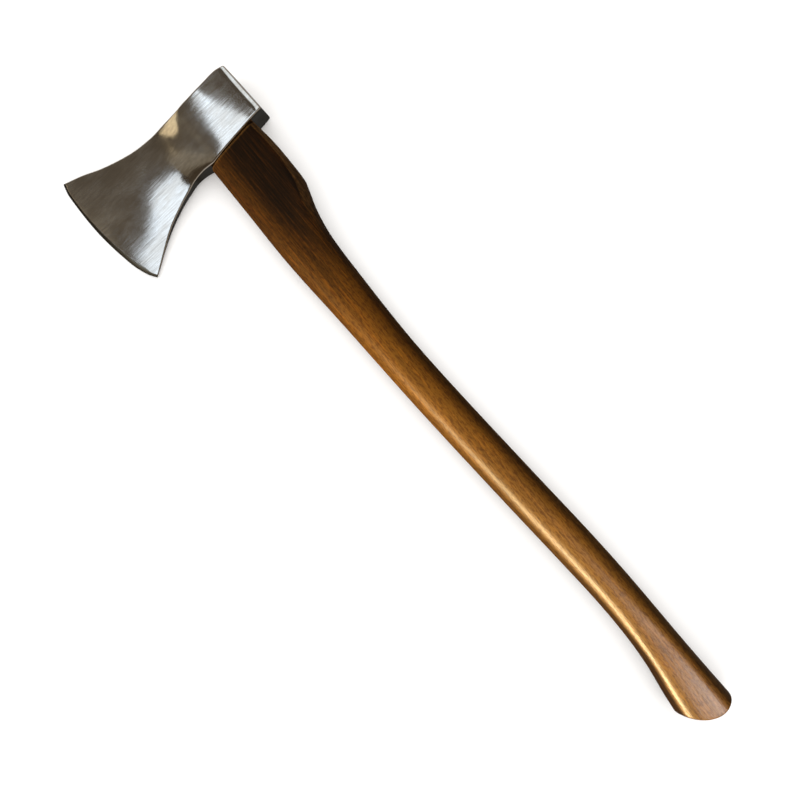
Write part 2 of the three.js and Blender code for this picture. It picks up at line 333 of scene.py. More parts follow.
def eye_size(x):
    """Length and width of the eye at a height x."""
    share = x / EYE_TOP_X
    return lerp(EYE_BOTTOM[0], EYE_TOP[0], share), lerp(EYE_BOTTOM[1], EYE_TOP[1], share)


def own_places(mesh):
    """The places of a mesh's points, one row each."""
    own = np.empty(len(mesh.vertices) * 3, np.float32)
    mesh.vertices.foreach_get("co", own)
    return own.reshape(-1, 3)


def finish_piece(piece, material, nodes, sharp_angle):
    """Gives a piece its material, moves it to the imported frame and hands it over."""
    mesh = piece.data
    mesh.materials.append(material)
    mesh.shade_smooth()
    mesh.set_sharp_from_angle(angle=math.radians(sharp_angle))
    store = mesh.attributes.new("own_mm", "FLOAT_VECTOR", "POINT")
    store.data.foreach_set("vector", own_places(mesh).ravel())
    box_unwrap(mesh)
    mesh.transform(PLACE @ Matrix.Scale(MM, 4))
    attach(piece, "root")
    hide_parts(*nodes)


def box_unwrap(mesh):
    """A UV map whose u runs across the grinding lines: x on the cheeks, and along z on the sides."""
    layer = mesh.uv_layers.new(name="across_grain")
    points = [v.co for v in mesh.vertices]
    for polygon in mesh.polygons:
        n = polygon.normal
        for corner in polygon.loop_indices:
            p = points[mesh.loops[corner].vertex_index]
            if abs(n.z) > CHEEK_FACING:
                layer.data[corner].uv = (p.x / UV_UNIT, p.y / UV_UNIT)
            elif abs(n.x) > abs(n.y):
                layer.data[corner].uv = (p.z / UV_UNIT, p.y / UV_UNIT)
            else:
                layer.data[corner].uv = (p.x / UV_UNIT, p.z / UV_UNIT)


# ---------------------------------------------------------------- head
def head_xy(row, column):
    """A point of the side outline patch: row 0 is the edge, 1 the poll; column 0 is the top edge."""
    top_y = lerp(TOE[1], POLL_TOP[1], row)
    bottom_y = lerp(HEEL[1], POLL_BOTTOM[1], row)
    x = lerp(top_edge_x(top_y), bottom_edge_x(bottom_y), column)
    y = lerp(top_y, bottom_y, column)
    chord_x, chord_y = lerp(TOE[0], HEEL[0], column), lerp(TOE[1], HEEL[1], column)
    return x, y + (1 - row) * (smooth_at(EDGE_LINE, chord_x) - chord_y)


def head_thickness(row, column):
    top, middle, bottom = (smooth_at(list(zip(THICKNESS_AT, line)), row)
                           for line in (TOP_THICKNESS, MID_THICKNESS, BOTTOM_THICKNESS))
    crown = (middle - (top + bottom) / 2) * (1 - np.abs(2 * column - 1) ** CROWN_POWER)
    return lerp(top, bottom, column) + crown - 2 * poll_drop(row, column)


def poll_drop(row, column):
    """How far each cheek is rounded down towards the poll, and round the poll's lower corner."""
    from_poll = (1 - row) * (POLL_TOP[1] - TOE[1])
    from_bottom = (1 - column) * (POLL_BOTTOM[0] - POLL_TOP[0])
    near_poll = np.maximum(POLL_ROLL - from_poll, 0)
    near_corner = np.maximum(CORNER_ROLL - from_bottom, 0) * smoothstep(from_poll, 3 * CORNER_ROLL, 0)
    reach = np.hypot(near_poll, near_corner)
    return ROLL_DROP * (reach / POLL_ROLL) ** 2


def head_ring(row, inset=0.0):
    """One section loop of the head, drawn in by `inset` all round."""
    ends = [np.array(head_xy(row, c)) for c in (0.0, 1.0)]
    height = float(np.linalg.norm(ends[1] - ends[0]))
    rim = min(float(head_thickness(row, 0.0)), float(head_thickness(row, 1.0)))
    fillet = min(RIM_FILLET, LARGEST_FILLET * rim)
    edge_share = fillet / height
    turn = np.linspace(0, math.pi / 2, HEAD_FILLET_POINTS + 1)[1:]
    into = edge_share * (1 - np.sin(turn))
    drop = fillet * (1 - np.cos(turn))
    cheek = np.linspace(edge_share, 1 - edge_share, HEAD_CHEEK_POINTS)
    top, bottom = (float(head_thickness(row, c)) / 2 for c in (edge_share, 1 - edge_share))
    up_side = np.linspace(0, 1, HEAD_SIDE_POINTS + 1)[1:-1]
    columns = np.concatenate([0 * up_side, into[::-1], cheek, 1 - into, 0 * up_side + 1])
    heights = np.concatenate([up_side * (top - fillet), (top - drop)[::-1],
                              head_thickness(row, cheek) / 2,
                              bottom - drop, up_side[::-1] * (bottom - fillet)])
    columns = 0.5 + (columns - 0.5) * (1 - 2 * inset / height)
    heights = heights * (1 - inset / heights.max())
    x, y = head_xy(row, columns)
    half = np.stack([x, y, heights], axis=-1)
    return np.concatenate([half, (half * (1, 1, -1))[::-1]])


def head_rows():
    """Row shares with the inset of each: denser at the bevel, and rounded over at the poll."""
    length = POLL_TOP[1] - TOE[1]
    fillet_share = POLL_FILLET / length
    bevel = np.linspace(0, BEVEL_SHARE, HEAD_BEVEL_ROWS)
    body = np.linspace(BEVEL_SHARE, 1 - fillet_share, HEAD_BODY_ROWS)[1:]
    rows = [(r, 0.0) for r in bevel] + [(r, 0.0) for r in body]
    for angle in np.linspace(0, math.pi / 2, FILLET_ROWS)[1:]:
        rows.append((1 - fillet_share * (1 - math.sin(angle)), POLL_FILLET * (1 - math.cos(angle))))
    return rows


def eye_cutter():
    """The oval bar that opens the eye, flared at the top for its chamfer."""
    flared = EYE_CHAMFER + EYE_CUTTER_FLARE
    stations = [(EYE_CUTTER_LOW, 0), (EYE_TOP_X + EYE_CHAMFER, 0),
                (EYE_TOP_X - EYE_CUTTER_FLARE, flared), (EYE_TOP_X - EYE_CUTTER_RISE, flared)]
    rings = []
    for x, grow in stations:
        length, width = eye_size(min(x, 0))
        rings.append(oval_ring(x, length + 2 * grow, width + 2 * grow, EYE_SIDES))
    return lofted("eye_cutter", np.array(rings))


def store_edge_distance(mesh):
    """Notes at each point how far it lies behind the cutting edge, in millimetres."""
    own = own_places(mesh)
    store = mesh.attributes.new("from_edge", "FLOAT", "POINT")
    store.data.foreach_set("value", own[:, 1] - smooth_at(EDGE_LINE, own[:, 0]))


def make_head(material):
    """The forging, with the eye cut right through it."""
    rings = np.array([head_ring(row, inset) for row, inset in head_rows()])
    piece = lofted("steel_head", rings, chain=HEAD_SIDE_POINTS - 1)
    apply_boolean(piece, eye_cutter())
    store_edge_distance(piece.data)
    finish_piece(piece, material, ["axe_head"], SHARP_PIECE)
    return piece


# ---------------------------------------------------------------- handle
def handle_ends(share):
    """Front and back rail points at a share of the way from head to butt."""
    start_front = float(straight_underside_x(FRONT_RAIL[0][1])) + FIT
    start_back = float(straight_underside_x(BACK_RAIL[0][1])) + FIT
    front_x = lerp(start_front, FRONT_RAIL[-1][0], share)
    back_x = lerp(start_back, BACK_RAIL[-1][0], share)
    front = np.array([front_x, smooth_at(FRONT_RAIL, front_x)])
    back = np.array([back_x, smooth_at(BACK_RAIL, back_x)])
    return front, back


def planed(height, limit, from_rail, facet, x):
    """Section heights cut down along a rail by a sloping facet, with a softened corner."""
    width, slope, softness = (float(smooth_at(facet[key], x))
                              for key in ("width", "slope", "softness"))
    cut = limit + 2 * softness - slope * softness * np.logaddexp(0, (width - from_rail) / softness)
    cut_height = -softness * np.logaddexp(-height / softness, -cut / softness)
    return np.minimum(np.maximum(cut_height, 0), height)


def handle_ring(share, inset=0.0):
    """One section of the handle: a superellipse, squarer at the back near the head, with its facets."""
    front, back = handle_ends(share)
    x = front[0]
    width = float(np.linalg.norm(back - front))
    half_thickness = float(smooth_at(HANDLE_THICKNESS, x)) / 2
    u, v = superellipse(HANDLE_SIDES, float(smooth_at(FRONT_POWER, x)))
    u_back, v_back = superellipse(HANDLE_SIDES, float(smooth_at(BACK_POWER, x)))
    u, v = np.where(u > 0, u_back, u), np.where(u > 0, v_back, v)
    height = half_thickness * np.abs(v)
    from_front, from_back = (1 + u) * width / 2, (1 - u) * width / 2
    by_head = planed(height, half_thickness, from_back, BACK_FACET, x)
    by_butt = planed(height, half_thickness, from_front, BUTT_FRONT_FACET, x)
    by_butt = planed(by_butt, half_thickness, from_back, BUTT_BACK_FACET, x)
    height = lerp(by_head, height, smoothstep(x, *BACK_FACET_END))
    height = lerp(height, by_butt, smoothstep(x, *BUTT_FACET_START))
    z = np.sign(v) * height * (1 - inset / half_thickness)
    u = u * (1 - 2 * inset / width)
    point = front + (back - front) * ((u + 1) / 2)[:, None]
    bulge = BUTT_BULGE * smoothstep(share, BULGE_START, 1) * (1 - u * u)
    return np.stack([point[:, 0] + bulge, point[:, 1], z], axis=-1)


def tongue_rings():
    """Rings from the handle's end, down through the eye, to the underside of the head."""
    stations = [(HANDLE_END_X + below, shrink) for below, shrink in TONGUE_RIM]
    stations += [(HANDLE_END_X / 2, 0), (TONGUE_ROOT, 0)]
    rings = []
    for x, shrink in stations:
        length, width = eye_size(x)
        less = 2 * (FIT + shrink)
        rings.append(oval_ring(x, length - less, width - less, HANDLE_SIDES))
    length, width = eye_size(0)
    base = oval_ring(0, length - 2 * FIT, width - 2 * FIT, HANDLE_SIDES)
    base[:, 0] = straight_underside_x(base[:, 1]) + FIT
    return rings + [base]


def handle_rings():
    """Rings of the tongue and then from the shoulder to the butt."""
    rings = tongue_rings()
    reach = BACK_RAIL[-1][0]
    for angle in np.linspace(math.pi / 2, 0, FILLET_ROWS):
        share = SHOULDER_FILLET * (1 - math.sin(angle)) / reach
        rings.append(handle_ring(share, SHOULDER_FILLET * (1 - math.cos(angle))))
    shoulder, butt = SHOULDER_FILLET / reach, BUTT_FILLET / reach
    for share in np.linspace(shoulder, 1 - butt, HANDLE_STATIONS)[1:]:
        rings.append(handle_ring(share))
    for angle in np.linspace(0, math.pi / 2, FILLET_ROWS)[1:]:
        share = 1 - butt * (1 - math.sin(angle))
        rings.append(handle_ring(share, BUTT_FILLET * (1 - math.cos(angle))))
    return np.array(rings)


def wedge_plate(clearance):
    """The tapered wooden plate, grown all round by the clearance given and carried on above the eye."""
    half_top = lerp(WEDGE_TOP, WEDGE_BOTTOM, -CUTTER_REACH / WEDGE_DEPTH) / 2 + clearance
    half_bottom = WEDGE_BOTTOM / 2 + clearance
    half = [(HANDLE_END_X - CUTTER_REACH, half_top),
            (HANDLE_END_X + WEDGE_DEPTH + clearance, half_bottom)]
    reach = EYE_TOP[0] / 2 + CUTTER_REACH
    rings = []
    for y in (EYE_Y - reach, EYE_Y + reach):
        rings.append([(x, y, z) for x, z in half] + [(x, y, -z) for x, z in half[::-1]])
    return lofted("wedge_plate", np.array(rings, float))


def ring_profile(clearance, rounding):
    """The ring's section as (radius, depth) points: a cutter's carries on upwards, with no rounding."""
    above = CUTTER_REACH if clearance > 0 else 0.0
    outer_top = lerp(*RING_OUTER, -above / RING_HEIGHT) + clearance
    inner_top = lerp(*RING_INNER, -above / RING_HEIGHT) - clearance
    outer_bottom = RING_OUTER[1] + clearance
    inner_bottom = RING_INNER[1] - clearance
    if clearance > 0:
        return [(inner_top, -above), (outer_top, -above), (outer_bottom, RING_HEIGHT + clearance),
                (inner_bottom, RING_HEIGHT + clearance)]
    part = ROUNDING_MIDDLE * rounding
    return [(inner_top, rounding), (inner_top + part, part), (inner_top + rounding, 0),
            (outer_top - rounding, 0), (outer_top - part, part), (outer_top, rounding),
            (outer_bottom, RING_HEIGHT), (inner_bottom, RING_HEIGHT)]


def ring_solid(name, clearance, rounding=0.0):
    """The conical ring, grown all round by the clearance given, or with its upper rims rounded over."""
    profile = ring_profile(clearance, rounding)
    count = len(profile)
    points, faces = [], []
    for k in range(EYE_SIDES):
        angle = 2 * math.pi * k / EYE_SIDES
        cosine, sine = math.cos(angle), math.sin(angle)
        points += [(HANDLE_END_X + x, EYE_Y + r * cosine, r * sine) for r, x in profile]
        next_k = (k + 1) % EYE_SIDES
        for i in range(count):
            j = (i + 1) % count
            faces.append((k * count + i, k * count + j, next_k * count + j, next_k * count + i))
    return new_piece(name, points, faces)


def make_handle(material):
    """The stick, with room for both wedges cut into its tongue."""
    piece = lofted("ash_handle", handle_rings())
    apply_boolean(piece, wedge_plate(FIT))
    apply_boolean(piece, ring_solid("ring_cutter", FIT))
    finish_piece(piece, material, ["handle"], SHARP_PIECE)
    return piece


def make_wooden_wedge(material):
    """The plate, trimmed to the oval of the eye and cut through by the ring."""
    rings = []
    for x in (HANDLE_END_X, HANDLE_END_X / 2, 0):
        length, width = eye_size(x)
        rings.append(oval_ring(x, length - 2 * FIT, width - 2 * FIT, EYE_SIDES))
    piece = lofted("wedge_of_wood", np.array(rings))
    apply_boolean(piece, wedge_plate(0), "INTERSECT")
    apply_boolean(piece, ring_solid("ring_cutter", FIT))
    finish_piece(piece, material, ["wooden_wedge"], SHARP_WEDGE)
    return piece


def make_ring_wedge(material):
    """The conical ring, level with the top of the tongue."""
    piece = ring_solid("ring_of_steel", 0, RING_ROUNDING)
    finish_piece(piece, material, ["steel_ring_wedge"], SHARP_RING)
    return piece


# ---------------------------------------------------------------- material tools
def set_stops(ramp, stops):
    """Gives a colour ramp node its (position, colour) stops."""
    elements = ramp.color_ramp.elements
    while len(elements) < len(stops):
        elements.new(0.5)
    for element, (position, colour) in zip(elements, stops):
        element.position = position
        element.color = (*colour, 1.0)


class Nodes:
    """Short calls for a material's node tree."""

    def __init__(self, name):
        self.material = bpy.data.materials.new(name)
        self.material.use_nodes = True
        self.tree = self.material.node_tree
        self.shader = next(n for n in self.tree.nodes if n.type == "BSDF_PRINCIPLED")

    def add(self, kind, **settings):
        node = self.tree.nodes.new(kind)
        for key, value in settings.items():
            setattr(node, key, value)
        return node

    def link(self, source, target):
        self.tree.links.new(source, target)

    def own_place(self, scale):
        """The point's place in the axe's own frame, in millimetres, multiplied axis by axis."""
        attribute = self.add("ShaderNodeAttribute", attribute_name="own_mm")
        multiply = self.add("ShaderNodeVectorMath", operation="MULTIPLY")
        self.link(attribute.outputs["Vector"], multiply.inputs[0])
        multiply.inputs[1].default_value = scale
        return multiply.outputs[0]

    def noise(self, scale, detail=3.0, roughness=0.5, distortion=0.0):
        """Noise whose cells are 1/scale millimetres long on each axis."""
        node = self.add("ShaderNodeTexNoise")
        node.inputs["Scale"].default_value = 1.0
        node.inputs["Detail"].default_value = detail
        node.inputs["Roughness"].default_value = roughness
        node.inputs["Distortion"].default_value = distortion
        self.link(self.own_place(scale), node.inputs["Vector"])
        return node.outputs["Fac"]

    def span(self, value, low, high, to_low=0.0, to_high=1.0, smooth=False):
        """Maps a value from one span to another, held at its ends."""
        node = self.add("ShaderNodeMapRange", clamp=True)
        node.interpolation_type = "SMOOTHSTEP" if smooth else "LINEAR"
        self.link(value, node.inputs["Value"])
        numbers = {"From Min": low, "From Max": high, "To Min": to_low, "To Max": to_high}
        for key, number in numbers.items():
            node.inputs[key].default_value = number
        return node.outputs["Result"]

    def math(self, operation, a, b=0.0):
        node = self.add("ShaderNodeMath", operation=operation)
        for socket, value in zip(node.inputs, (a, b)):
            if isinstance(value, (int, float)):
                socket.default_value = value
            else:
                self.link(value, socket)
        return node.outputs[0]

    def mix(self, factor, a, b, blend="MIX"):
        """Mixes two colours, each given as a tuple or as a socket."""
        node = self.add("ShaderNodeMix", data_type="RGBA", blend_type=blend)
        if isinstance(factor, (int, float)):
            node.inputs[0].default_value = factor
        else:
            self.link(factor, node.inputs[0])
        for socket, value in ((node.inputs[6], a), (node.inputs[7], b)):
            if isinstance(value, tuple):
                socket.default_value = (*value, 1.0)
            else:
                self.link(value, socket)
        return node.outputs[2]

    def tint(self, factor, colour, tint):
        """Multiplies a colour by a tint, as far as the factor says."""
        return self.mix(factor, colour, self.mix(1.0, colour, tint, "MULTIPLY"))

    def ramp(self, value, stops):
        """A colour ramp from (position, colour) stops."""
        node = self.add("ShaderNodeValToRGB")
        set_stops(node, stops)
        self.link(value, node.inputs["Fac"])
        return node.outputs["Color"]

    def bump(self, height, distance_mm, below=None):
        node = self.add("ShaderNodeBump")
        node.inputs["Distance"].default_value = distance_mm * MM
        self.link(height, node.inputs["Height"])
        if below is not None:
            self.link(below, node.inputs["Normal"])
        return node.outputs["Normal"]

    def axis(self, index):
        """One coordinate of the point in the axe's own frame, in millimetres."""
        split = self.add("ShaderNodeSeparateXYZ")
        self.link(self.own_place((1, 1, 1)), split.inputs[0])
        return split.outputs[index]

    def set(self, **values):
        """Sets sockets of the shader, named with _ for each space, to numbers or to other sockets."""
        for key, value in values.items():
            socket = self.shader.inputs[key.replace("_", " ")]
            if isinstance(value, (int, float)):
                socket.default_value = value
            else:
                self.link(value, socket)


# ---------------------------------------------------------------- materials
# Ground steel: its patches, scratches, painted dark reflection on the edge, and honed band from toe to
# heel.
STEEL_COLOURS = (0.68, 0.65, 0.61), (0.84, 0.84, 0.83)
SCRATCH_COLOUR = (0.48, 0.45, 0.42)
EDGE_DARK_REFLECTION = (0.02, 0.018, 0.014)
HONED_COLOURS = [(0.0, (0.05, 0.045, 0.04)), (0.55, (0.12, 0.11, 0.09)), (1.0, (0.42, 0.41, 0.35))]


def ground_steel():
    """Bright steel with grinding strokes from poll to edge and a honed band along the edge."""
    n = Nodes("ground_steel")
    scratches = n.noise((0.75, 0.03, 0.75), roughness=0.7)
    strokes = n.noise((0.36, 0.02, 0.36), roughness=0.65)
    patches = n.noise((0.06, 0.03, 0.06), detail=4, roughness=0.6)
    edge = n.add("ShaderNodeAttribute", attribute_name="from_edge").outputs["Fac"]
    honed = honed_band(n, edge)
    colour = n.mix(n.span(patches, 0.38, 0.62), *STEEL_COLOURS)
    colour = n.mix(n.span(scratches, 0.42, 0.62, 0.0, 0.4), colour, SCRATCH_COLOUR)
    colour = n.mix(honed, colour, n.ramp(n.span(n.axis(0), -90, 43), HONED_COLOURS))
    # Painted dark reflection: a near-black line right along the cutting edge.
    colour = n.mix(n.span(edge, 1.5, 0.7, 0.0, 0.85), colour, EDGE_DARK_REFLECTION)
    rough = n.math("ADD", n.span(scratches, 0.3, 0.7, 0.06, 0.11), n.span(patches, 0.3, 0.7, 0.0, 0.03))
    rough = n.math("ADD", rough, n.math("MULTIPLY", honed, 0.25))
    n.set(Base_Color=colour, Metallic=1.0, Roughness=rough, Anisotropic=0.6)
    tangent = n.add("ShaderNodeTangent", direction_type="UV_MAP", uv_map="across_grain")
    n.set(Tangent=tangent.outputs[0], Normal=n.bump(scratches, 0.008, n.bump(strokes, 0.027)))
    return n.material


def honed_band(n, edge):
    """1 on the honed band along the cutting edge, which is widest a little way in from the heel."""
    width = n.math("MULTIPLY", n.span(n.axis(0), -60, 22, 2.6, 4.8),
                   n.span(n.axis(0), 28, 44, 1.0, 0.35))
    return n.span(n.math("DIVIDE", edge, width), 1.15, 0.9)


# Stained ash: its colours and its gloss at shares of the way from the head to the butt.
WOOD_REACH = 700
WOOD_COLOURS = [(0.0, (0.085, 0.036, 0.004)), (0.12, (0.105, 0.043, 0.003)),
                (0.28, (0.20, 0.090, 0.010)), (0.50, (0.27, 0.132, 0.020)),
                (0.75, (0.34, 0.176, 0.033)), (1.0, (0.30, 0.158, 0.038))]
WOOD_GLOSS = [(0.06, 0.03), (0.20, 0.15), (0.40, 0.2), (0.62, 0.4), (0.86, 0.75), (0.95, 1.0)]
SCORCH_COLOUR = (0.005, 0.0012, 0.0010)
# Paler colour of the shoulder's rim and of the back facet, where it is partly painted light.
PALE_RIM_AND_FACET_COLOUR = (0.20, 0.118, 0.050)
# What each kind of mark multiplies the colour by, red, green and blue.
BLOTCH_TINT = (0.55, 0.48, 0.40)
STREAK_TINT = (0.45, 0.38, 0.30)
BRIGHT_LINE_TINT = (1.9, 1.7, 1.5)
SPECK_TINT = (0.48, 0.40, 0.32)
# The painted highlight on the front shoulder.
FRONT_HIGHLIGHT_TINT = (1.5, 1.5, 1.6)
# The painted shade on the narrow front and back sides.
FRONT_SHADE_TINT = (0.13, 0.11, 0.08)
BACK_SHADE_TINT = (0.48, 0.44, 0.36)
# The stretch of x, in millimetres, over which the grain grows fainter away from the head.
GRAIN_FADE = (120, 320)
# How far below the head the shoulder's rim turns paler: none of it, all of it.
PALE_RIM_REACH = (3.2, 1.2)


def lacquered_ash():
    """Stained ash: scorched dark behind the head, golden and glossier towards the butt; painted light
    and shade.
    """
    n = Nodes("lacquered_ash")
    along, across = n.axis(0), n.axis(1)
    grain = n.noise((0.010, 0.42, 0.42), roughness=0.6)
    lines = n.noise((0.02, 0.6, 0.6))
    specks = n.noise((0.16, 0.65, 0.65), roughness=0.7)
    # How far each narrow side takes painted shade; the coat is made thinner there too.
    front, back = painted_front_shade(n, along), painted_back_shade(n, along)
    colour = grained(n, stain_and_facet_light(n, along, across, lines), along, grain, lines, specks)
    # Painted highlight on the front shoulder.
    colour = n.tint(painted_front_highlight(n, along), colour, FRONT_HIGHLIGHT_TINT)
    # Painted shade on both narrow sides.
    colour = n.tint(front, colour, FRONT_SHADE_TINT)
    colour = n.tint(back, colour, BACK_SHADE_TINT)
    rough = n.math("ADD", n.span(along, 0, 640, 0.66, 0.45), n.span(specks, 0.4, 0.65, -0.05, 0.08))
    gloss = n.ramp(n.span(along, 0, WOOD_REACH), [(share, (grey,) * 3) for share, grey in WOOD_GLOSS])
    gloss = n.math("MULTIPLY", gloss, n.span(n.math("MAXIMUM", front, back), 0, 1, 1.0, 0.1))
    normal = n.bump(specks, 0.12, n.bump(grain, 0.08))
    n.set(Base_Color=colour, Roughness=rough, Specular_IOR_Level=0.11, Normal=normal)
    n.set(Coat_Weight=gloss, Coat_Roughness=0.27, Coat_Normal=normal)
    return n.material


def stain_and_facet_light(n, along, across, lines):
    """Blotched stain, scorched near the head, paler on the shoulder's rim and on the back facet."""
    base = n.ramp(n.span(along, 0, WOOD_REACH), WOOD_COLOURS)
    blotches = n.noise((0.008, 0.05, 0.05))
    colour = n.tint(n.span(blotches, 0.35, 0.65, 0.0, 0.35), base, BLOTCH_TINT)
    scorch = n.math("MULTIPLY", n.span(along, 230, 60, smooth=True),
                    n.span(across, -32, -4, smooth=True))
    scorch = n.math("MULTIPLY", scorch, n.span(lines, 0.40, 0.70, 0.99, 0.75))
    colour = n.mix(scorch, colour, SCORCH_COLOUR)
    # Paler on the shoulder's rim, and on the back facet from thinner stain and painted light.
    pale_rim_and_facet = n.math("MAXIMUM", edge_of_shoulder(n, along, across), facet_thin_stain_and_light(n, along))
    return n.mix(pale_rim_and_facet, colour, PALE_RIM_AND_FACET_COLOUR)


def grained(n, colour, along, grain, lines, specks):
    """The colour with dark grain and bright lines, strongest near the head, and dark specks."""
    streak = n.math("MULTIPLY", n.span(grain, 0.40, 0.68), n.span(along, *GRAIN_FADE, 0.75, 0.35))
    colour = n.tint(streak, colour, STREAK_TINT)
    bright = n.math("MULTIPLY", n.span(lines, 0.5, 0.68), n.span(along, *GRAIN_FADE, 0.8, 0.4))
    colour = n.tint(bright, colour, BRIGHT_LINE_TINT)
    return n.tint(n.span(specks, 0.46, 0.62, 0.0, 0.85), colour, SPECK_TINT)


def facing(n, direction):
    """How far the surface faces a direction given in the axe's own frame: 1 when it faces it fully."""
    geometry = n.add("ShaderNodeNewGeometry")
    product = n.add("ShaderNodeVectorMath", operation="DOT_PRODUCT")
    n.link(geometry.outputs["Normal"], product.inputs[0])
    product.inputs[1].default_value = PLACE.to_3x3() @ Vector(direction)
    return product.outputs["Value"]


def edge_of_shoulder(n, along, across):
    """Where the rounded rim that meets the head is coloured paler."""
    lean = (POLL_BOTTOM[0] - LUG[0]) / (POLL_BOTTOM[1] - LUG[1])
    below = n.math("SUBTRACT", along, n.math("MULTIPLY", across, lean))
    rim = LUG[0] - lean * LUG[1]
    return n.span(below, rim + PALE_RIM_REACH[0], rim + PALE_RIM_REACH[1], 0.0, 0.7)


def facet_thin_stain_and_light(n, along):
    """Paler on the planed back facet near the head: partly thinner stain, partly painted light."""
    return n.math("MULTIPLY", n.span(facing(n, (0, 1, 0)), 0.3, 0.6), n.span(along, 130, 10))


def painted_front_highlight(n, along):
    """A painted highlight along the front shoulder of the middle of the handle."""
    stretch = n.math("MULTIPLY", n.span(along, 130, 270, smooth=True),
                     n.span(along, 430, 300, smooth=True))
    return n.math("MULTIPLY", n.span(facing(n, (0, -1, 0)), 0.03, 0.24, smooth=True), stretch)


def painted_front_shade(n, along):
    """Painted shade on the narrow front side, deepest at the butt."""
    return n.math("MULTIPLY", n.span(facing(n, (0, -1, 0)), 0.46, 0.64),
                  n.span(along, 200, 620, 0.25, 1.0))


def painted_back_shade(n, along):
    """Painted shade along the narrow back side, beyond the facet."""
    return n.math("MULTIPLY", n.span(facing(n, (0, 1, 0)), 0.15, 0.60), n.span(along, 110, 220))


PORE_COLOUR = (0.12, 0.055, 0.02)
RAW_WOOD_COLOURS = [(0.3, (0.30, 0.16, 0.07)), (0.7, (0.52, 0.33, 0.17))]
DULL_STEEL_COLOURS = (0.34, 0.33, 0.33), (0.16, 0.12, 0.09)
FLOOR_COLOURS = (0.90, 0.90, 0.90), (0.93, 0.93, 0.93)


def raw_wedge_wood():
    """Unstained end grain with dark pores."""
    n = Nodes("raw_wedge_wood")
    grain = n.noise((0.05, 1.5, 1.2), detail=4)
    pores = n.noise((0.2, 3.5, 3.5), detail=2)
    colour = n.ramp(grain, RAW_WOOD_COLOURS)
    colour = n.mix(n.span(pores, 0.58, 0.7, 0.0, 0.7), colour, PORE_COLOUR)
    n.set(Base_Color=colour, Roughness=n.span(grain, 0.3, 0.7, 0.55, 0.75), Normal=n.bump(grain, 0.1))
    return n.material


def hammered_steel():
    """Dull, dented steel with brown grime."""
    n = Nodes("hammered_steel")
    dents = n.noise((0.5, 0.5, 0.5), detail=2)
    grime = n.noise((0.25, 0.25, 0.25), detail=4)
    colour = n.mix(n.span(grime, 0.35, 0.7), *DULL_STEEL_COLOURS)
    n.set(Base_Color=colour, Metallic=1.0, Roughness=n.span(grime, 0.3, 0.7, 0.35, 0.6))
    n.set(Normal=n.bump(dents, 0.15))
    return n.material


def pale_floor():
    """A matt, nearly white surface."""
    n = Nodes("pale_floor")
    coordinates = n.add("ShaderNodeTexCoord")
    cloud = n.add("ShaderNodeTexNoise")
    cloud.inputs["Scale"].default_value = 2.0
    n.link(coordinates.outputs["Generated"], cloud.inputs["Vector"])
    colour = n.mix(cloud.outputs["Fac"], *FLOOR_COLOURS)
    n.set(Base_Color=colour, Roughness=0.9, Specular_IOR_Level=0.0)
    return n.material


# ---------------------------------------------------------------- stage
FLOOR_RADIUS = 12.0
FLOOR_SIDES = 96
FLOOR_GAP = 0.0005
SKY_STRENGTH, SKY_ANGLE = 4.0, 150
BACKDROP_COLOUR = (0.98, 0.98, 0.98, 1.0)
# The surroundings' colour by height, from -1 straight down to 1 overhead, and the tints over it.
WORLD_STOPS = [(-0.86, (0.03, 0.03, 0.03)), (-0.66, (0.26, 0.25, 0.25)), (-0.10, (0.38, 0.36, 0.34)),
               (0.20, (0.44, 0.41, 0.38)), (0.42, (0.32, 0.30, 0.28)), (0.60, (0.096, 0.083, 0.068))]
WORLD_TINTS = [(0.42, (0.62, 0.51, 0.38)), (0.58, (1.30, 1.24, 1.14))]
WORLD_TINT_SCALE = 3.0
# Places in the axe's own frame, in metres: what the lamps aim at.
CHEEK, SHAFT, BUTT = (-0.03, -0.06, 0.0), (0.3, 0.0, 0.0), (0.64, 0.0, 0.0)
KEY_SIZE, KEY_COLOUR = (1.4, 0.55), (1.0, 0.77, 0.41)


def make_floor():
    """A round pale floor that the axe's reflections don't show and that sends no light back up."""
    sheet = bmesh.new()
    bmesh.ops.create_circle(sheet, cap_ends=True, segments=FLOOR_SIDES, radius=FLOOR_RADIUS)
    mesh = bpy.data.meshes.new("floor")
    sheet.to_mesh(mesh)
    sheet.free()
    floor = bpy.data.objects.new("floor", mesh)
    bpy.context.scene.collection.objects.link(floor)
    mesh.materials.append(pale_floor())
    floor.location.z = -FLOOR_GAP
    floor.visible_glossy = False
    floor.visible_diffuse = False
    return floor


def light_group(name, pieces):
    """A collection of the pieces that a lamp may light."""
    group = bpy.data.collections.new(name)
    for piece in pieces:
        group.objects.link(piece)
    return group


def soft_box(name, at, aim, size, radiance, colour, lit, roll=0.0):
    """A rectangular light on the pieces in `lit`, its long side turned `roll` degrees from the handle.

    Places are in the axe's own frame and in metres, and radiance is its brightness.
    """
    data = bpy.data.lights.new(name, "AREA")
    data.shape = "RECTANGLE"
    data.size, data.size_y = size
    data.energy = radiance * math.pi * size[0] * size[1]
    data.color = colour
    light = bpy.data.objects.new(name, data)
    bpy.context.scene.collection.objects.link(light)
    start, end = PLACE @ Vector(at), PLACE @ Vector(aim)
    back = (start - end).normalized()
    angle = math.radians(roll)
    side = PLACE.to_3x3() @ Vector((math.cos(angle), math.sin(angle), 0))
    across = back.cross(side).normalized()
    turn = Matrix((across.cross(back), across, back)).transposed()
    light.matrix_world = Matrix.Translation(start) @ turn.to_4x4()
    light.visible_camera = False
    light.light_linking.receiver_collection = lit
    return light


def overhead_sky(lit, strength, shadow):
    """Even, very soft light from above."""
    data = bpy.data.lights.new("overhead_sky", "SUN")
    data.energy = strength
    data.use_shadow = shadow
    data.angle = math.radians(SKY_ANGLE)
    light = bpy.data.objects.new("overhead_sky", data)
    bpy.context.scene.collection.objects.link(light)
    light.light_linking.receiver_collection = lit


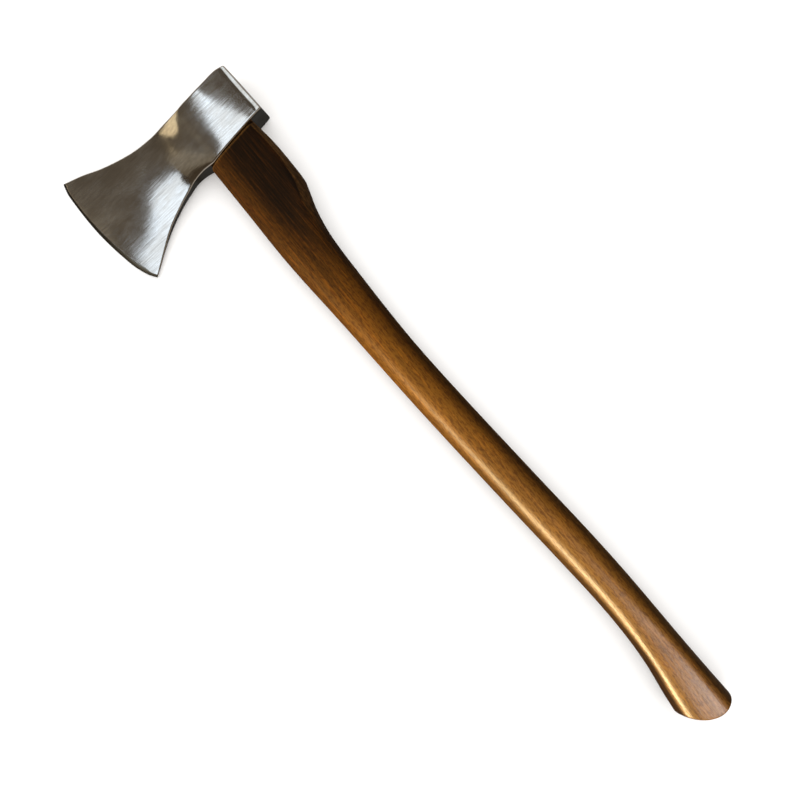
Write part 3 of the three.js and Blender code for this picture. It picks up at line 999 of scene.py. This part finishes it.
def surroundings_colour(tree):
    """Dim overhead, paler around the horizon and dark right below, under soft warm and cool tints."""
    direction = tree.nodes.new("ShaderNodeTexCoord").outputs["Generated"]
    split = tree.nodes.new("ShaderNodeSeparateXYZ")
    height = tree.nodes.new("ShaderNodeMapRange")
    height.inputs["From Min"].default_value = -1.0
    ramp = tree.nodes.new("ShaderNodeValToRGB")
    set_stops(ramp, [((rise + 1) / 2, colour) for rise, colour in WORLD_STOPS])
    clouds = tree.nodes.new("ShaderNodeTexNoise")
    clouds.inputs["Scale"].default_value = WORLD_TINT_SCALE
    tint = tree.nodes.new("ShaderNodeValToRGB")
    set_stops(tint, WORLD_TINTS)
    product = tree.nodes.new("ShaderNodeVectorMath")
    product.operation = "MULTIPLY"
    tree.links.new(direction, split.inputs[0])
    tree.links.new(split.outputs["Z"], height.inputs["Value"])
    tree.links.new(height.outputs["Result"], ramp.inputs["Fac"])
    tree.links.new(direction, clouds.inputs["Vector"])
    tree.links.new(clouds.outputs["Fac"], tint.inputs["Fac"])
    tree.links.new(ramp.outputs["Color"], product.inputs[0])
    tree.links.new(tint.outputs["Color"], product.inputs[1])
    return product.outputs["Vector"]


def make_world():
    """Dim, tinted surroundings for light and reflections, and a pale backdrop for the camera."""
    world = bpy.data.worlds.new("studio")
    bpy.context.scene.world = world
    world.use_nodes = True
    tree = world.node_tree
    surroundings = tree.nodes["Background"]
    tree.links.new(surroundings_colour(tree), surroundings.inputs["Color"])
    backdrop = tree.nodes.new("ShaderNodeBackground")
    backdrop.inputs["Color"].default_value = BACKDROP_COLOUR
    path = tree.nodes.new("ShaderNodeLightPath")
    choose = tree.nodes.new("ShaderNodeMixShader")
    tree.links.new(path.outputs["Is Camera Ray"], choose.inputs[0])
    tree.links.new(surroundings.outputs[0], choose.inputs[1])
    tree.links.new(backdrop.outputs[0], choose.inputs[2])
    tree.links.new(choose.outputs[0], tree.nodes["World Output"].inputs["Surface"])


def light_head(lit):
    """What the cheeks mirror: a broad window, a small gold lamp, a low warm fill and a light behind."""
    soft_box("window", (-0.515, -0.21, 3.0), (-0.515, -0.21, 0.0), (2.23, 1.23), 1.33,
             (0.80, 0.90, 1.0), lit, roll=38)
    soft_box("gold_lamp", (-1.90, -1.55, 2.4), CHEEK, (0.84, 0.50), 0.82, (1.0, 0.79, 0.47), lit)
    soft_box("low_fill", (-1.1, -1.75, 3.0), (-1.1, -1.75, 0.0), (1.0, 0.75), 0.10,
             (1.0, 0.86, 0.62), lit)
    soft_box("back_light", (-1.5, 1.1, 3.0), CHEEK, (2.0, 1.1), 1.0, (0.90, 0.96, 1.0), lit)


def light_wood(lit):
    """A warm key light from the front, and two lights that only the lacquer's reflections show."""
    soft_box("key", (0.95, -1.82, 1.84), SHAFT, KEY_SIZE, 40.0, KEY_COLOUR, lit)
    glint = soft_box("glint", (0.95, -1.83, 1.85), SHAFT, KEY_SIZE, 22.0, KEY_COLOUR, lit)
    sheen = soft_box("sheen", (2.1, 0.35, 3.0), BUTT, (0.8, 1.2), 12.0, (1.0, 0.93, 0.90), lit)
    glint.visible_diffuse = False
    sheen.visible_diffuse = False


def make_lights(steel, wood, floor):
    """The head, the wood and the floor each have lights of their own, as if by flags and screens."""
    steel_lit, wood_lit = light_group("steel_lit", steel), light_group("wood_lit", wood)
    light_head(steel_lit)
    light_wood(wood_lit)
    floor_lit = light_group("floor_lit", [floor])
    # Half of the sky casts no shadow, so the one under the axe is faint.
    for shadow in (True, False):
        overhead_sky(floor_lit, SKY_STRENGTH / 2, shadow)


# ---------------------------------------------------------------- build
head = make_head(ground_steel())
handle = make_handle(lacquered_ash())
wedge = make_wooden_wedge(raw_wedge_wood())
ring = make_ring_wedge(hammered_steel())
floor = make_floor()
make_world()
make_lights([head, ring], [handle, wedge], floor)
bpy.context.scene.view_settings.view_transform = "Standard"
